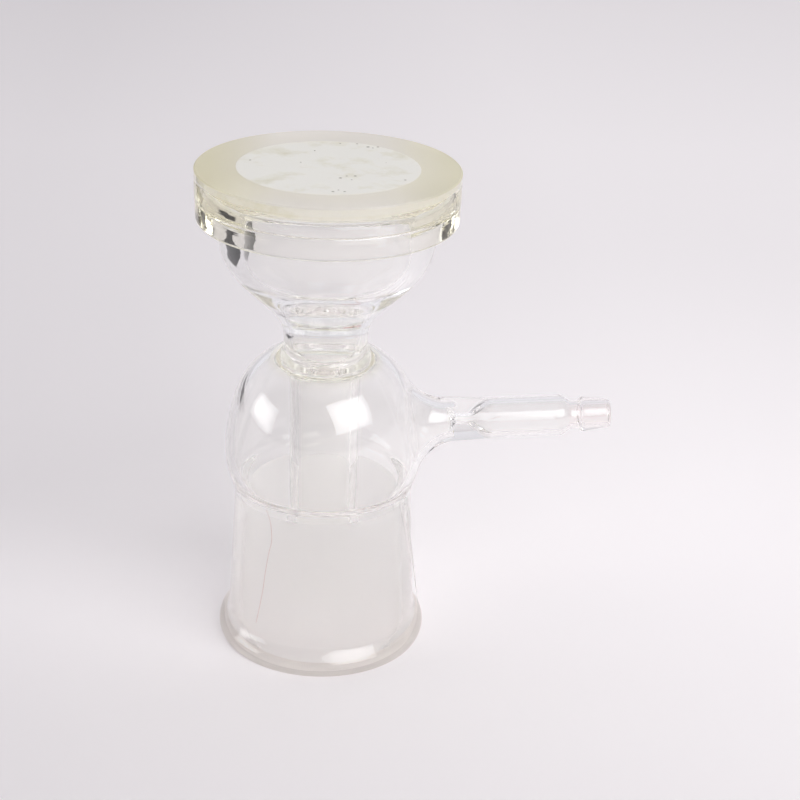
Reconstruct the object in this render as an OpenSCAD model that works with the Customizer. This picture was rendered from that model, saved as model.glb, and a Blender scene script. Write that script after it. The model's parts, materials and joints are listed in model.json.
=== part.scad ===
// Vacuum filtration unit: the base of an all-glass holder for 47 mm filters.
// A sintered glass disc is sealed into a thick ground flange. Under it a bowl
// drains through a neck into a vacuum chamber with a drip tube and a side arm,
// and the chamber ends in a standard taper socket with a rolled bead.
// Everything but the disc is one fused piece of borosilicate glass.
// Millimetres, +Z up, origin at the centre of the socket's mouth, arm to +X.

/* [Ground socket] */
// Bore at the wide end of the ground surface
socket_bore = 40; // [34:0.5:44]
// Length of the ground surface
ground_length = 35; // [25:1:50]
// Height over which the ground bore narrows by 1 mm
taper_ratio = 10; // [8:1:20]
// Wall beside the ground surface
socket_wall = 2.65; // [1.8:0.05:3.5]
// Smooth flare below the ground surface
lead_in = 4.7; // [3.5:0.1:7]
// Radius of the mouth's polished inner edge
lip_round = 1.2; // [0.4:0.1:1.6]
// Diameter over the rolled bead
bead_d = 50.3; // [48:0.1:56]
// Radius of the bead's section
bead_round = 3.4; // [2.8:0.1:4.5]
// Height of the bead's widest line
bead_rise = 1.6; // [1:0.1:2.5]
// Sweep between bead and wall
bead_sweep = 8; // [4:0.5:14]

/* [Vacuum chamber] */
// Diameter at the widest line
chamber_d = 46.5; // [44:0.1:56]
// Height from the top of the socket to the widest line
chamber_rise = 9; // [7:0.1:16]
// Wall of the blown chamber
chamber_wall = 1.9; // [1:0.1:2.6]
// Radius of the side above the widest line
side_round = 40; // [30:0.5:60]
// Radius of the shoulder
shoulder_round = 16; // [13:0.5:18]
// Angle above level at which side turns into shoulder
shoulder_turn = 22; // [15:1:32]
// Sweep in the crease between chamber and socket
crease_sweep = 3; // [1:0.5:6]

/* [Neck and drip tube] */
// Outside diameter of the neck
neck_d = 19.3; // [17:0.1:22]
// Wall of the neck and of the bowl's cone
neck_wall = 2.1; // [1.2:0.1:2.6]
// Height from the chamber to the point of the bowl's cone
neck_length = 7.8; // [5.5:0.1:16]
// Sweep between chamber and neck
neck_sweep = 1.5; // [0.5:0.1:2.5]
// Outside diameter of the drip tube
drip_d = 16.2; // [12:0.1:17]
// Wall of the drip tube
drip_wall = 2; // [1:0.1:2.6]
// Height of the drip tube's open end above the mouth
drip_end = 12; // [3:0.5:35]
// Rounding of the drip tube's polished end
drip_polish = 0.6; // [0.2:0.1:0.8]
// Sweep of the ring seal between drip tube and chamber
seal_sweep = 2.6; // [1:0.1:3.5]
// Height over which the drip tube's bore opens to the neck's
seal_height = 3; // [1:0.5:5]

/* [Bowl] */
// Outside diameter under the flange
bowl_d = 49.4; // [46:0.5:55]
// Slope of the bowl's cone
bowl_slope = 45; // [35:1:52]
// Radius between cone and side, outside
bowl_round = 14; // [9:0.5:15]
// Straight side under the flange
bowl_side = 3.45; // [2:0.05:8]
// Sweep between neck and cone
bowl_sweep = 7; // [4:0.5:9]
// Diameter of the cavity under the sintered disc
cavity_d = 37.4; // [34:0.1:39]
// Radius between cone and side, inside
cavity_round = 8; // [4:0.5:10]

/* [Flange] */
// Diameter of the upper plate, whose top face is ground
flange_d = 59.2; // [57:0.1:66]
// Height of the upper plate
flange_height = 6.7; // [5.5:0.1:10]
// Diameter of the lower plate
collar_d = 58.9; // [55:0.1:60]
// Height of the lower plate
collar_height = 5.1; // [3.5:0.1:8]
// Rounding at the lower edges of both plates
plate_round = 1; // [0.3:0.1:1.6]
// Bevel round the ground top face
face_bevel = 0.3; // [0.1:0.05:0.8]
// Sweep between the flange's underside and the bowl
collar_sweep = 1.5; // [0.5:0.1:1.8]

/* [Sintered disc] */
// Diameter of the disc
frit_d = 40.7; // [39.5:0.1:46]
// Thickness of the disc
frit_height = 4.5; // [3:0.1:5.5]
// Clearance round the disc in its seat
frit_clearance = 0.05; // [0.02:0.01:0.2]

/* [Side arm] */
// Height of the arm's axis at the middle of the chamber
arm_height = 54.2; // [50:0.1:58]
// Rise of the arm toward its tip, in degrees
arm_tilt = 2.6; // [0:0.1:8]
// Outside diameter of the arm
arm_d = 9.8; // [8.5:0.1:12]
// Wall of the arm
arm_wall = 1.3; // [0.9:0.05:1.8]
// Outside diameter at the arm's root, where the flare ends
root_d = 10.6; // [9:0.1:12]
// Sweep where the arm flares into the chamber
arm_sweep = 10; // [4:0.5:11]
// Length over which the flare's bore closes to the restriction
closing_length = 1.4; // [1:0.1:4]
// Bore of the restriction at the arm's root
restriction_bore = 1.8; // [1:0.1:3]
// Length of the restriction
restriction_length = 2.4; // [1.5:0.1:6]
// Length over which the bore opens again
opening_length = 5; // [3:0.1:9]
// Length of the arm's full bore
arm_length = 17.2; // [12:0.1:40]

/* [Hose barb] */
// Diameter of the waist behind the barb
waist_d = 6.7; // [6.2:0.1:7.5]
// Length of the rounded shoulder between arm and waist
shoulder_length = 3; // [2:0.1:4]
// Length from the end of the full bore to the barb
waist_length = 4.9; // [4:0.1:8]
// Diameter over the barb
barb_d = 8.3; // [7.8:0.1:9.5]
// Rounding of the barb's edge
barb_round = 0.7; // [0.3:0.1:1]
// Length of the barb
barb_length = 7.2; // [5:0.1:12]
// Diameter of the barb's end
tip_d = 6.9; // [6.2:0.1:7.6]
// Rounding of the polished tip
tip_round = 0.8; // [0.3:0.1:0.9]
// Bore through waist and barb
barb_bore = 4.8; // [4.2:0.1:5.2]

/* [Hidden] */
$fn = 96;
past = 1; // how far a cut runs past a face
bite = 0.01; // how far an arc stands over what it is tangent to, so that the two cross

// Socket: outer wall line r = wall_r0 - wall_k * z
wall_k = 1 / (2 * taper_ratio);
mouth_r = socket_bore / 2;
wall_r0 = mouth_r + socket_wall + lead_in * wall_k;
ground_top = lead_in + ground_length;
ground_top_r = mouth_r - ground_length * wall_k;
bead_c = [bead_d / 2 - bead_round, bead_rise];
lip_c = [mouth_r + 1.5 * lip_round, lip_round];

// Chamber: three arcs, each [centre r, centre z, radius]
crease = [wall_r0 - wall_k * ground_top, ground_top];
chamber_r = chamber_d / 2;
chamber_z = ground_top + chamber_rise;
low_r = (pow(chamber_rise, 2) + pow(chamber_r - crease[0], 2)) / (2 * (chamber_r - crease[0]));
low_arc = [chamber_r - low_r, chamber_z, low_r];
side_arc = [chamber_r - side_round, chamber_z, side_round];
shoulder_arc = [
    side_arc[0] + (side_round - shoulder_round) * cos(shoulder_turn),
    chamber_z + (side_round - shoulder_round) * sin(shoulder_turn),
    shoulder_round
];

// Neck and drip tube
neck_r = neck_d / 2;
neck_z = arc_z(shoulder_arc, neck_r, 0);
drip_r = drip_d / 2;
drip_bore_r = drip_r - drip_wall;
neck_bore_r = neck_r - neck_wall;
bore_opens_z = arc_z(shoulder_arc, drip_r, chamber_wall);

// Bowl: its cone leaves the neck at cone_z
cone_z = neck_z + neck_length;
bowl_r = bowl_d / 2;
bowl_c = [
    bowl_r - bowl_round,
    cone_z + (bowl_r - bowl_round - neck_r) * tan(bowl_slope) + bowl_round / cos(bowl_slope)
];
sweep_c = [neck_r + bowl_sweep, cone_z - bowl_sweep * tan(bowl_slope / 2)];
cavity_r = cavity_d / 2;
cavity_c = [
    cavity_r - cavity_round,
    cone_z + (cavity_r - cavity_round - neck_r) * tan(bowl_slope) + (neck_wall + cavity_round) / cos(bowl_slope)
];

// Flange
collar_z = bowl_c[1] + bowl_side;
flange_z = collar_z + collar_height;
face_z = flange_z + flange_height;
seat_z = face_z - frit_height;

// Side arm, by distances along its own axis
arm_r = arm_d / 2;
arm_bore_r = arm_r - arm_wall;
root_r = root_d / 2;
root_bore_r = root_r - chamber_wall;
side_shift = side_round - chamber_r;
wall_tilt = asin((arm_height + chamber_r * sin(arm_tilt) - chamber_z) / side_round);
wall_r = side_round - side_shift / cos(wall_tilt);
flare_c = [root_r + arm_sweep, sqrt(pow(wall_r + arm_sweep, 2) - pow(root_r + arm_sweep, 2))];
closing_start = flare_c[1] + past / 2;
restriction_start = closing_start + closing_length;
restriction_end = restriction_start + restriction_length;
bore_start = restriction_end + opening_length;
bore_end = bore_start + arm_length;
barb_start = bore_end + waist_length;
tip = barb_start + barb_length;
waist_r = waist_d / 2;
barb_r = barb_d / 2;
tip_r = tip_d / 2;
shoulder_r = (pow(shoulder_length, 2) + pow(arm_r - waist_r, 2)) / (4 * (arm_r - waist_r));

// The flare stands square to the chamber's wall and ends on the arm's axis
flare_reach = flare_c[1] + side_shift / cos(wall_tilt);
flare_tilt = arm_tilt + asin(((arm_height - chamber_z) * cos(arm_tilt) - side_shift * sin(arm_tilt)) / flare_reach);
flare_joint = [flare_reach * cos(flare_tilt) - side_shift, 0, chamber_z + flare_reach * sin(flare_tilt)];

// Height at which an arc, its radius made smaller by inset, stands at radius r
function arc_z(arc, r, inset) = arc[1] + sqrt(pow(arc[2] - inset, 2) - pow(r - arc[0], 2));

// Centre of the circle of radius sweep that touches the line r = r0 - k * z from
// outside and an arc from outside, above the arc's centre (up = 1) or below it (up = -1)
function sweep_centre(r0, k, arc, sweep, up) =
    let (
        reach = r0 + sweep * sqrt(1 + k * k) - arc[0],
        b = k * reach + arc[1],
        c = reach * reach + arc[1] * arc[1] - pow(arc[2] + sweep, 2),
        z = (b + up * sqrt(b * b - (1 + k * k) * c)) / (1 + k * k)
    )
    [r0 + sweep * sqrt(1 + k * k) - k * z, z];

// Rectangle from r = 0 to r between two heights
module disc_2d(r, z0, z1) {
    translate([0, z0])
        square([r, z1 - z0]);
}

// Cone from radius r0 at z0 to radius r1 at z1
module cone_2d(r0, z0, r1, z1) {
    polygon([[0, z0], [r0, z0], [r1, z1], [0, z1]]);
}

module circle_at(c, r) {
    translate(c)
        circle(r);
}

// Fills the corner between the line r = r0 - k * z and an arc with a sweep that touches both
module sweep_2d(r0, k, arc, sweep, up) {
    c = sweep_centre(r0, k, arc, sweep, up);
    on_arc = c + ([arc[0], arc[1]] - c) * sweep / (arc[2] + sweep);
    on_line = c - [1, k] * sweep / sqrt(1 + k * k);
    difference() {
        polygon([c, on_arc, [0, on_arc[1]], [0, on_line[1]], on_line]);
        circle_at(c, sweep + bite);
    }
}

// Half section of the chamber, drawn smaller by inset from height z0 up
module chamber_2d(inset, z0) {
    turn_z = chamber_z + (side_round - inset) * sin(shoulder_turn);
    intersection() {
        circle_at([low_arc[0], low_arc[1]], low_arc[2] - inset + bite);
        disc_2d(chamber_d, z0, chamber_z + 2 * past);
    }
    intersection() {
        circle_at([side_arc[0], side_arc[1]], side_arc[2] - inset);
        disc_2d(chamber_d, chamber_z, turn_z);
    }
    intersection() {
        circle_at([shoulder_arc[0], shoulder_arc[1]], shoulder_arc[2] - inset + bite);
        disc_2d(chamber_d, turn_z - past, chamber_z + chamber_d);
    }
}

// Half section of the bead and the socket's outside
module socket_2d() {
    cone_2d(wall_r0, 0, crease[0], ground_top);
    intersection() {
        circle_at(bead_c, bead_round);
        disc_2d(bead_d, 0, bead_d);
    }
    sweep_2d(wall_r0, wall_k, [bead_c[0], bead_c[1], bead_round], bead_sweep, 1);
    sweep_2d(wall_r0, wall_k, low_arc, crease_sweep, -1);
}

// Where the cone of the bowl leaves the sweep of radius r and meets the arc of radius round
function cone_start(r) = sweep_c + r * [-sin(bowl_slope), cos(bowl_slope)];
function cone_end(c, round) = c + round * [sin(bowl_slope), -cos(bowl_slope)];

// Half section of a bowl whose wall touches the sweep of radius r and has a side of radius side_r
module cup_2d(r, c, round, side_r, top) {
    start = cone_start(r);
    end = cone_end(c, round);
    low = start - past / 2 * [cos(bowl_slope), sin(bowl_slope)];
    difference() {
        polygon([[0, sweep_c[1]], sweep_c, start, [0, start[1]]]);
        circle_at(sweep_c, r + bite);
    }
    polygon([[0, low[1]], low, end, [0, end[1]]]);
    intersection() {
        circle_at(c, round + bite);
        disc_2d(side_r + past, end[1] - past, c[1] + past);
    }
    disc_2d(c[0], end[1] - past, c[1] + past);
    disc_2d(side_r, c[1], top);
}

// Half section of neck and bowl, outside
module bowl_2d() {
    disc_2d(neck_r, neck_z - shoulder_round / 2, sweep_c[1] + past);
    sweep_2d(neck_r, 0, shoulder_arc, neck_sweep, 1);
    cup_2d(bowl_sweep, bowl_c, bowl_round, bowl_r, collar_z + past);
}

// A plate with a rounded lower edge
module plate_2d(r, z0, z1, round) {
    disc_2d(r, z0 + round, z1);
    disc_2d(r - round, z0, z1);
    intersection() {
        circle_at([r - round, z0 + round], round + bite);
        disc_2d(r + past, z0, z1);
    }
}

// Half section of the flange's two plates
module flange_2d() {
    difference() {
        disc_2d(bowl_r + collar_sweep, collar_z - collar_sweep, collar_z + past);
        circle_at([bowl_r + collar_sweep, collar_z - collar_sweep], collar_sweep + bite);
    }
    plate_2d(collar_d / 2, collar_z, flange_z + past, plate_round);
    plate_2d(flange_d / 2, flange_z, face_z - face_bevel, plate_round / 2);
    cone_2d(flange_d / 2, face_z - face_bevel, flange_d / 2 - face_bevel, face_z);
}

// Half section of the way down from the disc's seat to the end of the drip tube
module drain_2d() {
    opened_z = bore_opens_z + seal_height;
    disc_2d(drip_bore_r, drip_end - past, bore_opens_z);
    cone_2d(drip_bore_r, bore_opens_z, neck_bore_r, opened_z);
    disc_2d(neck_bore_r, opened_z, sweep_c[1] + past);
    cup_2d(bowl_sweep + neck_wall, cavity_c, cavity_round, cavity_r, seat_z + past);
    disc_2d(frit_d / 2 + frit_clearance, seat_z, face_z + past);
}

// Glass between the drip tube and the top of the chamber, inside
module seal_2d() {
    arc_inner = shoulder_round - chamber_wall;
    seal_r = drip_r + seal_sweep;
    seal_c = [seal_r, arc_z(shoulder_arc, seal_r, chamber_wall + seal_sweep)];
    toward = (seal_c - [shoulder_arc[0], shoulder_arc[1]]) / (arc_inner - seal_sweep);
    difference() {
        polygon([
            [drip_r, seal_c[1]],
            seal_c,
            seal_c + toward * (seal_sweep + past),
            [drip_r, seal_c[1] + 2 * seal_sweep]
        ]);
        circle_at(seal_c, seal_sweep + 2 * bite);
    }
}

// Half section of the drip tube's outside, with its polished end
module drip_2d() {
    plate_2d(drip_r, drip_end, neck_z, drip_polish);
}

// Half section of the mouth's flare, with its polished edge
module mouth_2d() {
    cone_2d((mouth_r + lip_c[0]) / 2, 0, mouth_r, lead_in);
    difference() {
        disc_2d(lip_c[0], -past, lip_c[1]);
        circle_at(lip_c, lip_round + bite);
    }
}

// Half section of the space round the drip tube
module chamber_space_2d() {
    step = chamber_r - ground_top_r;
    difference() {
        union() {
            mouth_2d();
            cone_2d(mouth_r, lead_in, ground_top_r, ground_top);
            difference() {
                chamber_2d(chamber_wall, ground_top);
                translate([ground_top_r, ground_top])
                    polygon([[0, 0], [0, -past], [step, -past], [step, step]]);
            }
        }
        drip_2d();
        seal_2d();
    }
}

// Moves a shape turned about +Z onto the axis of the side arm
module on_arm_axis() {
    translate([0, 0, arm_height])
        rotate([0, 90 - arm_tilt, 0])
            children();
}

// Moves a shape turned about +Z onto the axis of the flare, which meets the arm's axis at its end
module on_flare_axis() {
    translate(flare_joint)
        rotate([0, 90 - flare_tilt, 0])
            translate([0, 0, -flare_c[1]])
                children();
}

// Half section of the flare, drawn smaller by inset
module flare_2d(inset) {
    touch = flare_c * (wall_r - inset) / (wall_r + arm_sweep);
    difference() {
        polygon([[0, touch[1]], touch, flare_c, [0, flare_c[1]]]);
        circle_at(flare_c, arm_sweep + inset + bite);
    }
}

// Half section of the rounded shoulder between arm and waist, an arc out and an arc back
module shoulder_2d() {
    middle = bore_end + shoulder_length / 2;
    end = bore_end + shoulder_length;
    intersection() {
        circle_at([arm_r - shoulder_r, bore_end], shoulder_r + bite);
        disc_2d(arm_r + past, bore_end - past, middle + past / 2);
    }
    disc_2d(arm_r - shoulder_r, bore_end - past, middle + past / 2);
    difference() {
        disc_2d((arm_r + waist_r) / 2, middle, end);
        circle_at([waist_r + shoulder_r, end], shoulder_r + bite);
    }
}

// Half section of the side arm's outside, by distance along its axis
module arm_2d() {
    disc_2d(root_r, flare_c[1] - arm_sweep / 2, closing_start);
    cone_2d(root_r, closing_start, arm_r, bore_start);
    disc_2d(arm_r, bore_start, bore_end);
    shoulder_2d();
    disc_2d(waist_r, bore_end, barb_start + past);
    disc_2d(barb_r - barb_round, barb_start, tip - tip_round);
    intersection() {
        circle_at([barb_r - barb_round, barb_start + barb_round], barb_round + bite);
        disc_2d(barb_d, barb_start, tip);
    }
    cone_2d(barb_r, barb_start + barb_round, tip_r, tip - tip_round);
    intersection() {
        circle_at([tip_r - tip_round, tip - tip_round], tip_round + bite);
        disc_2d(tip_d, tip - 2 * tip_round, tip);
    }
    disc_2d(tip_r - tip_round, tip - 2 * tip_round, tip);
}

// Half section of the arm's bore, from the flare to the tip
module arm_bore_2d() {
    hole_r = restriction_bore / 2;
    waist_z = bore_end + shoulder_length;
    disc_2d(root_bore_r, flare_c[1] - arm_sweep / 2, closing_start);
    cone_2d(root_bore_r, closing_start, hole_r, restriction_start);
    disc_2d(hole_r, restriction_start, restriction_end);
    cone_2d(hole_r, restriction_end, arm_bore_r, bore_start);
    disc_2d(arm_bore_r, bore_start, bore_end);
    cone_2d(arm_bore_r, bore_end, barb_bore / 2, waist_z);
    disc_2d(barb_bore / 2, waist_z, tip + past);
}

module glass_body() {
    color([0.86, 0.92, 0.88, 0.4])
        difference() {
            union() {
                rotate_extrude() {
                    socket_2d();
                    chamber_2d(0, ground_top);
                    bowl_2d();
                    flange_2d();
                }
                on_flare_axis()
                    rotate_extrude()
                        flare_2d(0);
                on_arm_axis()
                    rotate_extrude()
                        arm_2d();
            }
            rotate_extrude()
                drain_2d();
            rotate_extrude()
                chamber_space_2d();
            on_flare_axis()
                rotate_extrude()
                    flare_2d(chamber_wall);
            on_arm_axis()
                rotate_extrude()
                    arm_bore_2d();
        }
}

module frit_disc() {
    color([0.95, 0.95, 0.91])
        translate([0, 0, seat_z])
            cylinder(d = frit_d, h = frit_height);
}

glass_body();
frit_disc();
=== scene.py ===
import bpy
import json
import math
import numpy as np
from mathutils import Matrix, Vector

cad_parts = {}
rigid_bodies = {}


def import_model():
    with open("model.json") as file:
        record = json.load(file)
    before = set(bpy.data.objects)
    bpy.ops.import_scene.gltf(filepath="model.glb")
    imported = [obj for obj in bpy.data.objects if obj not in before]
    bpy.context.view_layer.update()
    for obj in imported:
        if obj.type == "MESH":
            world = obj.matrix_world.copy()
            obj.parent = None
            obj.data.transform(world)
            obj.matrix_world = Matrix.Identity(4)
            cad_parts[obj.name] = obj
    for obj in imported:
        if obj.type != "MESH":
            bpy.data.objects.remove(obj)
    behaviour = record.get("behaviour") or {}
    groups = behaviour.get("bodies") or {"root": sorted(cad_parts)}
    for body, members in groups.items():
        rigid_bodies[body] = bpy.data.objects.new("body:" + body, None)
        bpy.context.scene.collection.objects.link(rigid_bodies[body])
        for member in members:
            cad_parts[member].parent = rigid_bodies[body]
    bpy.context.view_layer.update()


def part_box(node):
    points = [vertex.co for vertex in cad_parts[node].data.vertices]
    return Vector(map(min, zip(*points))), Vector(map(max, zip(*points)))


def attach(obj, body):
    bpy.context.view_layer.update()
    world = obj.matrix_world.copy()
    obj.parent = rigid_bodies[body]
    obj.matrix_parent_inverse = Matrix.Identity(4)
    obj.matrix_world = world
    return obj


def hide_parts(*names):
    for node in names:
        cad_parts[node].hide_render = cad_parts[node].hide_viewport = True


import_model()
mm = 0.001
print("frame loaded")


def unit(v):
    return v / np.linalg.norm(v)


def linePoints(a, b, step):
    a, b = np.array(a, float), np.array(b, float)
    count = max(2, int(np.linalg.norm(b - a) / step) + 1)
    return a + (b - a) * np.linspace(0, 1, count)[:, None]


def arcPoints(centre, radius, startDeg, endDeg, step):
    # at least one point every 8 degrees, so that small roundings stay round
    length = abs(math.radians(endDeg - startDeg)) * radius
    count = max(3, int(length / step) + 1, int(abs(endDeg - startDeg) / 8) + 1)
    angles = np.radians(np.linspace(startDeg, endDeg, count))
    return np.array(centre) + radius * np.stack([np.cos(angles), np.sin(angles)], 1)


def cutBack(points, reach):
    # takes the last stretch of that length off a path
    left = reach
    points = list(points)
    while len(points) > 2:
        step = np.linalg.norm(points[-1] - points[-2])
        if step > left:
            break
        left -= step
        points.pop()
    step = np.linalg.norm(points[-1] - points[-2])
    points[-1] = points[-1] + (points[-2] - points[-1]) * min(left / step, 0.9)
    return np.array(points)


def sweepJoin(first, second, reach, count=7):
    # joins two paths with a curve that starts and ends along them, as fused glass flows
    first = cutBack(first, reach)
    second = cutBack(second[::-1], reach)[::-1]
    p0, p3 = first[-1], second[0]
    pull = 0.42 * np.linalg.norm(p3 - p0)
    p1 = p0 + unit(first[-1] - first[-2]) * pull
    p2 = p3 - unit(second[1] - second[0]) * pull
    t = np.linspace(0, 1, count)[1:-1, None]
    curve = (1 - t) ** 3 * p0 + 3 * (1 - t) ** 2 * t * p1 + 3 * (1 - t) * t ** 2 * p2 + t ** 3 * p3
    return np.concatenate([first, curve, second])


def relaxed(points, passes):
    # evens out the curvature along a path, as gravity does with soft glass; the ends stay
    for _ in range(passes):
        inner = 0.25 * points[:-2] + 0.5 * points[1:-1] + 0.25 * points[2:]
        points = np.concatenate([points[:1], inner, points[-1:]])
    return points


def newObject(name, vertices, faces, materials, faceMaterials=None):
    mesh = bpy.data.meshes.new(name)
    mesh.from_pydata([tuple(v) for v in vertices], [], faces)
    for m in materials:
        mesh.materials.append(m)
    if faceMaterials is not None:
        mesh.polygons.foreach_set("material_index", np.array(faceMaterials, np.int32))
    mesh.polygons.foreach_set("use_smooth", np.ones(len(mesh.polygons), bool))
    obj = bpy.data.objects.new(name, mesh)
    bpy.context.scene.collection.objects.link(obj)
    return obj


bodyLow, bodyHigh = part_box("glass_body")
discLow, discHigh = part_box("frit_disc")
discGap = 0.05  # mm of gap round the disc in the solids, closed here

# the glass is one closed outline turned about the axis, with the side arm grown out of it;
# lengths in mm, angles in degrees
glassBody = dict(
    segments=180, step=1.15, wallStep=0.8, shoulderStepDeg=3.2, cupRelax=8, cavityRelax=3, sharpFrom=26,
    mouthRadius=20.0, leadIn=4.7, groundLength=35.0, taper=0.05, socketWall=2.65, socketFrom=3.0,
    lipRound=1.2, beadRadius=25.15, beadRound=3.4, beadRise=1.6, beadTurn=72, beadSweep=3.96,
    chamberRadius=23.25, chamberRise=9.0, chamberWall=1.9, sideRound=40.0,
    shoulderRound=16.0, shoulderTurn=22.0, creaseSweep=3.6, easeSweep=2.2, easeRise=0.9, easeOut=0.05,
    neckRadius=9.65, neckWall=2.1, neckLength=7.8, neckSweep=1.2, throatSweep=1.5,
    dripRadius=8.1, dripWall=2.0, dripEnd=12.0, dripPolish=0.6, dripSweep=1.6,
    sealSweep=4.4, sealHeight=3.0,
    bowlRadius=24.7, bowlSlope=45.0, bowlRound=14.0, bowlSweep=7.0, cavityRadius=18.7, cavityRound=8.0,
    cavityDrop=2.2, cavityFloor=34.0, boreSweep=6.0, filletRound=3.2, filletRise=3.05,
    collarRadius=29.45, collarZ=105.24, flangeZ=110.34, plateRound=1.0, seamDepth=0.12, seamDrop=0.02,
    edgeRound=0.45, edgeLift=0.5, edgeTurn=-80, faceBevel=0.3, collarSweep=1.3, collarDrop=0.25,
)


def chamberArcs(g):
    # the three arcs of the chamber's outline: centre, radius and the angles they run over;
    # the shoulder ends where it meets a tube
    groundTop = g["leadIn"] + g["groundLength"]
    creaseRadius = g["mouthRadius"] + g["socketWall"] - g["groundLength"] * g["taper"]
    wideZ = groundTop + g["chamberRise"]
    bulge = g["chamberRadius"] - creaseRadius
    lowRound = (g["chamberRise"] ** 2 + bulge ** 2) / (2 * bulge)
    turn = math.radians(g["shoulderTurn"])
    sideCentre = g["chamberRadius"] - g["sideRound"]
    inward = g["sideRound"] - g["shoulderRound"]
    shoulderCentre = (sideCentre + inward * math.cos(turn), wideZ + inward * math.sin(turn))
    return [
        ((g["chamberRadius"] - lowRound, wideZ), lowRound,
         -math.degrees(math.asin(g["chamberRise"] / lowRound)), 0),
        ((sideCentre, wideZ), g["sideRound"], 0, g["shoulderTurn"]),
        (shoulderCentre, g["shoulderRound"], g["shoulderTurn"], None),
    ]


def chamberOutline(g, inset, topRadius):
    # from the crease up to where the shoulder meets a tube of topRadius
    paths = []
    for centre, radius, start, end in chamberArcs(g):
        if end is None:
            end = math.degrees(math.acos((topRadius - centre[0]) / (radius - inset)))
            count = int((end - start) / g["shoulderStepDeg"])
        else:
            count = max(3, int(math.radians(end - start) * radius / g["wallStep"]) + 1)
        angles = np.radians(np.linspace(start, end, count))
        path = np.array(centre) + (radius - inset) * np.stack([np.cos(angles), np.sin(angles)], 1)
        paths.append(path if not paths else path[1:])
    return np.concatenate(paths)


def chamberWallRadius(g, z, inset):
    # radius of the chamber's wall at a height, for an array of heights
    (lowC, lowR, _, _), (sideC, sideR, _, turn), (topC, topR, _, _) = chamberArcs(g)
    turnZ = sideC[1] + (sideR - inset) * math.sin(math.radians(turn))

    def at(centre, radius):
        return centre[0] + np.sqrt(np.maximum((radius - inset) ** 2 - (z - centre[1]) ** 2, 0))

    upper = np.where(z < turnZ, at(sideC, sideR), at(topC, topR))
    return np.where(z < lowC[1], at(lowC, lowR), upper)


def cupPath(step, neck, slope, sweepRadius, sweepZ, centre, rounding, top, passes):
    # neck, sweep, cone, rounding and side of a cup, from below upward; neck is its foot: radius, height
    neckRadius, sideRadius = neck[0], centre[0] + rounding
    up = linePoints(neck, (neckRadius, sweepZ), step)
    sweep = arcPoints((neckRadius + sweepRadius, sweepZ), sweepRadius, 180, 90 + slope, step)
    side = arcPoints(centre, rounding, slope - 90, 0, step)
    cone = linePoints(sweep[-1], side[0], step)
    wall = linePoints((sideRadius, centre[1]), (sideRadius, top), step)
    return relaxed(np.concatenate([up, sweep[1:], cone[1:], side[1:], wall[1:]]), passes)


def bodyLevels(g):
    # the heights and radii that the outside and the inside share
    shoulderCentre, shoulderRound = chamberArcs(g)[2][:2]
    slope = math.radians(g["bowlSlope"])
    neckReach = g["neckRadius"] - shoulderCentre[0]
    dripReach = g["dripRadius"] - shoulderCentre[0]
    coneZ = shoulderCentre[1] + math.sqrt(shoulderRound ** 2 - neckReach ** 2) + g["neckLength"]
    bowlInset = g["bowlRadius"] - g["bowlRound"]
    bowlZ = coneZ + (bowlInset - g["neckRadius"]) * math.tan(slope) + g["bowlRound"] / math.cos(slope)
    innerRound = shoulderRound - g["chamberWall"]
    return dict(
        groundTop=g["leadIn"] + g["groundLength"],
        neckZ=shoulderCentre[1] + math.sqrt(shoulderRound ** 2 - neckReach ** 2),
        sweepZ=coneZ - g["bowlSweep"] * math.tan(slope / 2), bowlCentre=(bowlInset, bowlZ),
        boreOpens=shoulderCentre[1] + math.sqrt(innerRound ** 2 - dripReach ** 2),
        faceZ=bodyHigh.z / mm, flangeRadius=-bodyLow.x / mm,
        seatZ=discLow.z / mm, seatRadius=discHigh.x / mm + discGap,
    )


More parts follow.
